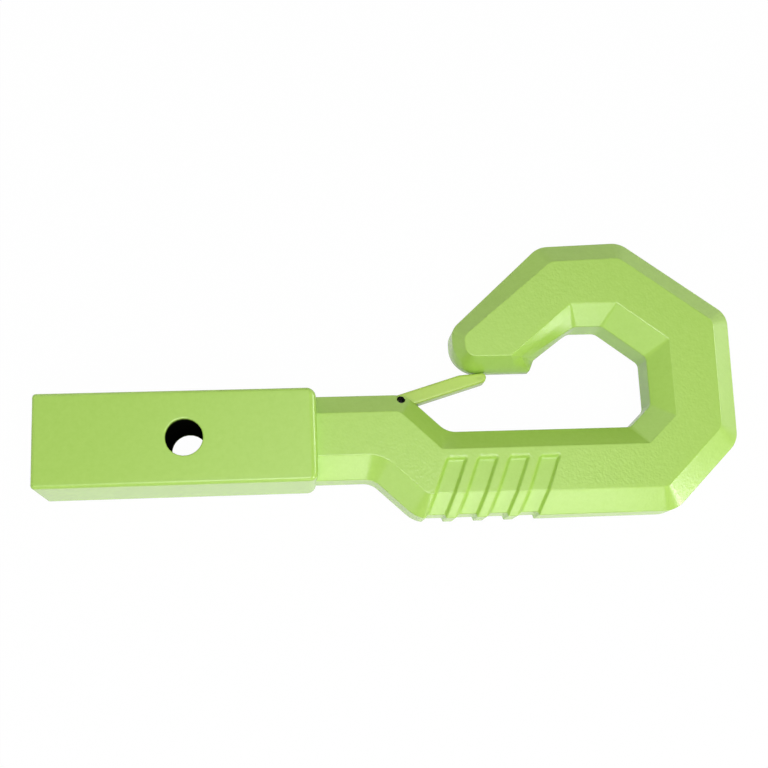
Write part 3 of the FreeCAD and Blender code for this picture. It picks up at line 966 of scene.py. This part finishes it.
@dataclass(frozen=True)
class Latch:
    """Flat bar that closes the mouth: round heel on the pin, seat under the nose."""

    seat: LatchSeat = LatchSeat()
    half_thickness: float = 5.0
    half_height: float = 4.05
    tip_x: float = 165.6
    tip_y: float = 35.5
    tip_drop: float = 5.6
    tip_rake: float = 2.0
    seat_slope: float = 4.5
    tip_radius: float = 2.4
    face_inset: float = 3.0
    edge_softness: float = 1.4
    round_share: float = 0.999
    least_radius: float = 0.3
    arc_steps: int = 17
    run_steps: int = 12
    edge_steps: int = 7
    clearance: float = 0.05
    hole_steps: int = 48
    hole_half: float = 9.0
    pocket_half: float = 2.6
    pocket_reach: float = 3.45
    pocket_length: float = 9.6
    pocket_radii: tuple[float, ...] = (0.2, 0.2, 0.5, 3.3465, 0.05, 0.2)
    pocket_arc_steps: int = 9
    pocket_run_steps: int = 2
    finish: PowderCoat = PowderCoat(
        "lime_powder_coat_on_latch", colour="B6D45B", shade_colour="A9C94F", peel_height_mm=0.02)

    def corners(self) -> tuple[np.ndarray, np.ndarray]:
        """Outline of the latch at rest, with a half round heel about the pin.

        Returns:
            Corners from the heel's lower one, anticlockwise, and their radii.
        """
        pivot, along = np.array(self.seat.pivot), heading(self.seat.rest_angle)
        up, half = turned_left(along), self.half_height
        heel, tip = pivot - along * half, np.array([self.tip_x, self.tip_y])

        def met(side: int, way: np.ndarray) -> np.ndarray:
            """Point where the bar's upper or lower side meets the line through the tip."""
            start = pivot + up * half * side
            return start + along * crossed(tip - start, way) / crossed(along, way)

        points = np.array([heel - up * half, met(-1, np.array([self.tip_rake, self.tip_drop])), tip,
                           met(1, heading(self.seat_slope)), heel + up * half])
        round_heel = half * self.round_share
        return points, np.array(
            [round_heel, self.tip_radius, self.tip_radius, half * 2, round_heel])

    def rows(self) -> np.ndarray:
        """Every ring of the bar.

        Returns:
            (rings, stations, 3) array, from the lower face over both edges to the upper face.
        """
        points, radii = self.corners()
        inset = np.full(len(points), self.face_inset)
        inner = moved_corners(points, inset, inset)
        inner_radii = np.maximum(
            radii + np.where(is_convex(points), -inset, inset), self.least_radius)
        rim, border = (rounded_outline(*shape, self.arc_steps, self.run_steps)
                       for shape in ((points, radii), (inner, inner_radii)))
        middle = lifted(rim, 0.0)
        edge = lifted(rim, self.half_thickness)
        face = lifted(border, self.half_thickness)
        rounding = softened(middle, edge, face, self.edge_softness, self.edge_steps)
        return with_back(np.concatenate([middle[None], rounding, face[None]]))

    def hollow(self) -> list[bpy.types.Object]:
        """Solids of what the bar leaves free.

        Returns:
            The pin's hole and the pocket for the spring's coil and leg.
        """
        pivot, along = np.array(self.seat.pivot), heading(self.seat.rest_angle)
        hole = pivot + circle(self.hole_steps) * (self.seat.bore_radius + self.clearance)
        reach, out, front = self.pocket_reach, 2 * self.half_height, self.pocket_length
        places = np.array([(-out, -out), (front, -out), (front, reach), (-reach, reach),
                           (-reach, 0.0), (-out, 0.0)])
        points = pivot + places @ np.array([along, turned_left(along)])
        pocket = rounded_outline(points, np.array(self.pocket_radii), self.pocket_arc_steps,
                                 self.pocket_run_steps)
        return [prism("latch_hole", hole, self.hole_half),
                prism("spring_pocket", pocket, self.pocket_half)]

    def build(self) -> bpy.types.Object:
        """Builds the latch, which stands for its solid.

        Returns:
            The dressed piece.
        """
        piece = ringed_solid("latch_bar", self.rows())
        cut_and_joined(piece, [], self.hollow())
        dressed(piece, self.finish)
        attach(piece, Body.LATCH.value)
        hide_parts("latch")
        return piece


@dataclass(frozen=True)
class SpringPin:
    """Slotted pin rolled from strip, with rounded ends, that the latch turns on."""

    seat: LatchSeat = LatchSeat()
    radius: float = 2.25
    wall: float = 0.7
    split: float = 0.8
    half_length: float = 8.5
    bevel: float = 0.4
    bevel_steps: int = 5
    arc_steps: int = 48
    finish: SteelFinish = SteelFinish("black_oxide_spring_steel", "101011", 0.6)

    def section(self, shrink: float) -> np.ndarray:
        """C-shaped section, anticlockwise: the outer arc, then the inner arc back.

        Args:
            shrink: how far the outer arc lies inside the full radius.

        Returns:
            Plane points round the pin's centre.
        """
        arcs = []
        for reach, way in ((self.radius - shrink, 1), (self.radius - self.wall, -1)):
            gap = math.asin(self.split / 2 / reach)
            turn = math.pi / 2 + np.linspace(gap, 2 * math.pi - gap, self.arc_steps)[::way]
            arcs.append(np.stack([np.cos(turn), np.sin(turn)], axis=1) * reach)
        return np.concatenate(arcs) + np.array(self.seat.pivot)

    def build(self) -> bpy.types.Object:
        """Builds the pin, which stands for its solid.

        Returns:
            The dressed piece.
        """
        share = np.linspace(0, 1, self.bevel_steps)
        shrink = self.bevel * share ** 2
        height = self.half_length - self.bevel * (1 - share) ** 2
        front = np.stack([lifted(self.section(less), level)
                          for less, level in zip(shrink, height)])
        piece = ringed_solid("spring_pin", np.concatenate([front[::-1] * OTHER_SIDE, front]))
        dressed(piece, self.finish)
        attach(piece, Body.HOOK.value)
        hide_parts("latch_pin")
        return piece


@dataclass(frozen=True)
class TorsionSpring:
    """Wire coiled round the pin, with one leg under the latch and one on the slot's floor."""

    seat: LatchSeat = LatchSeat()
    wire_radius: float = 0.45
    coil_radius: float = 2.8
    pitch: float = 1.0
    turns: int = 2
    leg: float = 9.0
    leg_tilt: float = 5.0
    coil_steps: int = 120
    leg_steps: int = 7
    wire_steps: int = 16
    finish: SteelFinish = SteelFinish("bright_spring_wire", "B4B4B6", 0.28)

    def path(self) -> np.ndarray:
        """Middle line of the wire: a left-handed helix whose two tangents run on as legs.

        Returns:
            (n, 3) points, from the tip of the leg on the slot's floor.
        """
        upper = self.seat.rest_angle + 90
        lower = self.seat.rest_angle - self.seat.swing - self.leg_tilt - 90
        turn = 360 * self.turns + (lower - upper) % 360
        share = np.linspace(0, 1, self.coil_steps)
        angle = np.radians(lower - turn * share)
        height = self.pitch * turn / 360 * (share - 0.5)
        coil = np.stack([self.coil_radius * np.cos(angle), self.coil_radius * np.sin(angle),
                         height], axis=1)
        start_way = unit(coil[0] - coil[1]) * np.array([1, 1, 0])
        end_way = unit(coil[-1] - coil[-2]) * np.array([1, 1, 0])
        reach = np.linspace(0, self.leg, self.leg_steps + 1)[1:, None]
        legs = (coil[0] + start_way * reach)[::-1], coil[-1] + end_way * reach
        return np.concatenate([legs[0], coil, legs[1]]) + np.array([*self.seat.pivot, 0.0])

    def build(self) -> bpy.types.Object:
        """Sweeps the wire's circle along the path, square to it, and dresses the spring.

        Returns:
            The spring, whose coil bends between the two bodies.
        """
        path = self.path()
        way = unit(np.gradient(path, axis=0))
        side = unit(np.cross(way, np.array([0.0, 0.0, 1.0])))
        up = np.cross(side, way)
        cosine, sine = circle(self.wire_steps).T[:, None, :, None]
        rows = path[:, None] + self.wire_radius * (cosine * side[:, None] + sine * up[:, None])
        piece = ringed_solid("torsion_spring", rows[:, ::-1])
        dressed(piece, self.finish)
        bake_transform(piece)
        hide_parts("latch_spring")
        return piece


# ---- the studio


@dataclass(frozen=True)
class Softbox:
    """Lamp with a flat rectangular face, turned to a point of the part."""

    name: str
    place: tuple[float, float, float]
    aim: tuple[float, float, float]
    width: float
    height: float
    power: float

    def build(self) -> None:
        """Adds the lamp, its place and size in metres and its power in watts."""
        lamp = bpy.data.lights.new(self.name, "AREA")
        lamp.shape = "RECTANGLE"
        lamp.size = self.width
        lamp.size_y = self.height
        lamp.energy = self.power
        holder = bpy.data.objects.new(self.name, lamp)
        holder.location = self.place
        way = Vector(self.aim) - Vector(self.place)
        holder.rotation_euler = way.to_track_quat("-Z", "Y").to_euler()
        bpy.context.scene.collection.objects.link(holder)


@dataclass(frozen=True)
class Studio:
    """White table, camera and lamps."""

    table_level: float = -25.0
    table_side: float = 6.0
    table_share: float = 0.985
    table_gloss_share: float = 0.7
    lens: float = 58.28
    world_grey: float = 0.02
    rotation: tuple[tuple[float, float, float], ...] = (
        (0.99556, -0.04311, 0.08360),
        (0.02351, 0.97461, 0.22265),
        (-0.09108, -0.21969, 0.97131),
    )
    shift: tuple[float, float, float] = (-106.17, -33.00, -670.56)
    lamps: tuple[Softbox, ...] = (
        Softbox("key_softbox", (0.11, -0.44, 1.53), (0.11, 0.03, 0.0), 0.95, 0.95, 9.4),
        Softbox("near_softbox", (0.22, -0.27, 0.975), (0.2, 0.03, 0.0), 0.6, 0.6, 4.0),
        Softbox("front_strip", (0.385, -1.35, 0.53), (0.18, 0.0, 0.0), 0.62, 0.26, 3.7),
        Softbox("corner_softbox", (1.07, -0.595, 0.1), (0.18, 0.05, 0.0), 0.23, 0.23, 2.6),
        Softbox("low_right_softbox", (1.272, 0.277, 0.1), (0.2, 0.03, 0.0), 0.24, 0.24, 1.7),
        Softbox("right_softbox", (1.54, 0.36, 0.312), (0.11, 0.03, 0.0), 0.8, 0.8, 2.4),
        Softbox("nose_softbox", (-0.62, 0.5, 0.085), (0.15, 0.07, 0.0), 0.4, 0.16, 0.85),
        Softbox("left_softbox", (-0.757, -0.857, 0.5), (0.11, -0.02, 0.0), 0.45, 0.45, 1.1),
        Softbox("inner_softbox", (-0.28, -0.84, 0.82), (0.25, 0.04, 0.0), 0.4, 0.4, 0.8),
        Softbox("back_softbox", (-0.511, 1.2, 0.704), (0.11, 0.03, 0.0), 0.9, 0.9, 2.1),
        Softbox("top_softbox", (0.33, 0.27, 1.5), (0.11, 0.03, 0.0), 0.7, 0.7, 1.8),
    )

    def camera(self) -> None:
        """Places the camera by the rotation and shift that were fitted to the photograph."""
        seen = bpy.data.cameras.new("photo_camera")
        seen.lens = self.lens
        seen.sensor_width = 36.0
        seen.clip_start = 0.01
        holder = bpy.data.objects.new("photo_camera", seen)
        turn = np.array(self.rotation)
        place = -turn.T @ np.array(self.shift) * METRES
        matrix = Matrix(turn.T.tolist()).to_4x4()
        matrix.translation = Vector(place.tolist())
        holder.matrix_world = matrix
        bpy.context.scene.collection.objects.link(holder)
        bpy.context.scene.camera = holder

    def shown_white(self, tree: bpy.types.NodeTree) -> bpy.types.Node:
        """Tells by which rays white is seen.

        Args:
            tree: the node tree of the world or of a material.

        Returns:
            Node that gives 1 for rays from the camera, off gloss and through glass, else 0.
        """
        rays = add_node(tree, "LightPath")
        first = add_node(tree, "Math", {
            0: rays.outputs["Is Camera Ray"], 1: rays.outputs["Is Glossy Ray"]}, operation="ADD")
        return add_node(tree, "Math", {0: first, 1: rays.outputs["Is Transmission Ray"]},
                        operation="ADD", use_clamp=True)

    def world(self) -> None:
        """Plain grey light all round that the camera sees as white."""
        world = bpy.data.worlds.new("studio")
        world.use_nodes = True
        bpy.context.scene.world = world
        tree = world.node_tree
        tree.nodes.clear()
        grey, white = (add_node(tree, "Background", {"Color": (1, 1, 1, 1), "Strength": strength})
                       for strength in (self.world_grey, 1.0))
        mixed = add_node(tree, "MixShader", {0: self.shown_white(tree), 1: grey, 2: white})
        add_node(tree, "OutputWorld", {0: mixed})

    def table(self) -> None:
        """White table top: mostly plain white to the camera, with a faint shadow."""
        half = self.table_side / METRES / 2
        square = np.array([(-half, -half, self.table_level), (half, -half, self.table_level),
                           (half, half, self.table_level), (-half, half, self.table_level)])
        top = mesh_piece("table_top", square, [[0, 1, 2, 3]])
        made, tree = empty_material("white_laminate_table")
        matt = add_node(tree, "BsdfPrincipled", {
            "Base Color": linear_colour("F2F2F2"), "Roughness": 0.7})
        white = add_node(tree, "Emission", {"Strength": 1.0})
        share = add_node(tree, "MapRange", {
            0: add_node(tree, "LightPath").outputs["Is Camera Ray"], 3: self.table_gloss_share,
            4: self.table_share})
        shown = add_node(tree, "Math", {0: share, 1: self.shown_white(tree)}, operation="MULTIPLY")
        mixed = add_node(tree, "MixShader", {0: shown, 1: matt, 2: white})
        add_node(tree, "OutputMaterial", {0: mixed})
        top.data.materials.append(made)

    def build(self) -> None:
        """Sets up the camera, the light and the table."""
        bpy.context.scene.view_settings.view_transform = "Standard"
        self.camera()
        self.world()
        self.table()
        for lamp in self.lamps:
            lamp.build()


def main() -> None:
    """Loads the solids, sets the studio and builds each piece over its solid."""
    logging.basicConfig(level=logging.INFO, format="%(message)s")
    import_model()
    Studio().build()
    for maker in (Casting(), Latch(), SpringPin(), TorsionSpring()):
        piece = maker.build()
        LOG.info("%s: %d faces", piece.name, len(piece.data.polygons))


if __name__ == "__main__":
    main()
